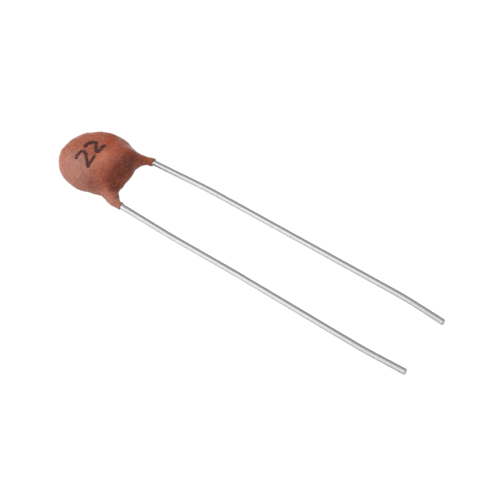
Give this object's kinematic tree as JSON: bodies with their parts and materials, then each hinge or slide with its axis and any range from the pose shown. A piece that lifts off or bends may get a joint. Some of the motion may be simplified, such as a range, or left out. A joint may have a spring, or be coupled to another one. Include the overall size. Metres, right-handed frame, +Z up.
{
  "type": "ceramic disc capacitor",
  "caption": "Small ceramic disc capacitor, dipped in brown resin, with long straight tinned wire leads side by side for a through-hole circuit board.",
  "frame": {"origin": "Under the middle of the part's box, on the surface that it lies on.", "axes": "+Z up through the thickness of the disc with the marked face up, +Y from the ends of the leads towards the disc, +X across the leads to the right-hand one as the number is read."},
  "size_m": [0.0068, 0.0336, 0.0024],
  "materials": {
    "resin_coat": "matte, fine grained",
    "tinned_wire": "bright tinned",
    "solder": "satin",
    "fired_silver": "matte",
    "titanate": "matte"
  },
  "bodies": {
    "root": {"coating": "resin_coat", "right_lead": "tinned_wire", "left_lead": "tinned_wire", "front_solder": "solder", "back_solder": "solder", "front_electrode": "fired_silver", "back_electrode": "fired_silver", "ceramic_disc": "titanate"}
  },
  "joints": []
}
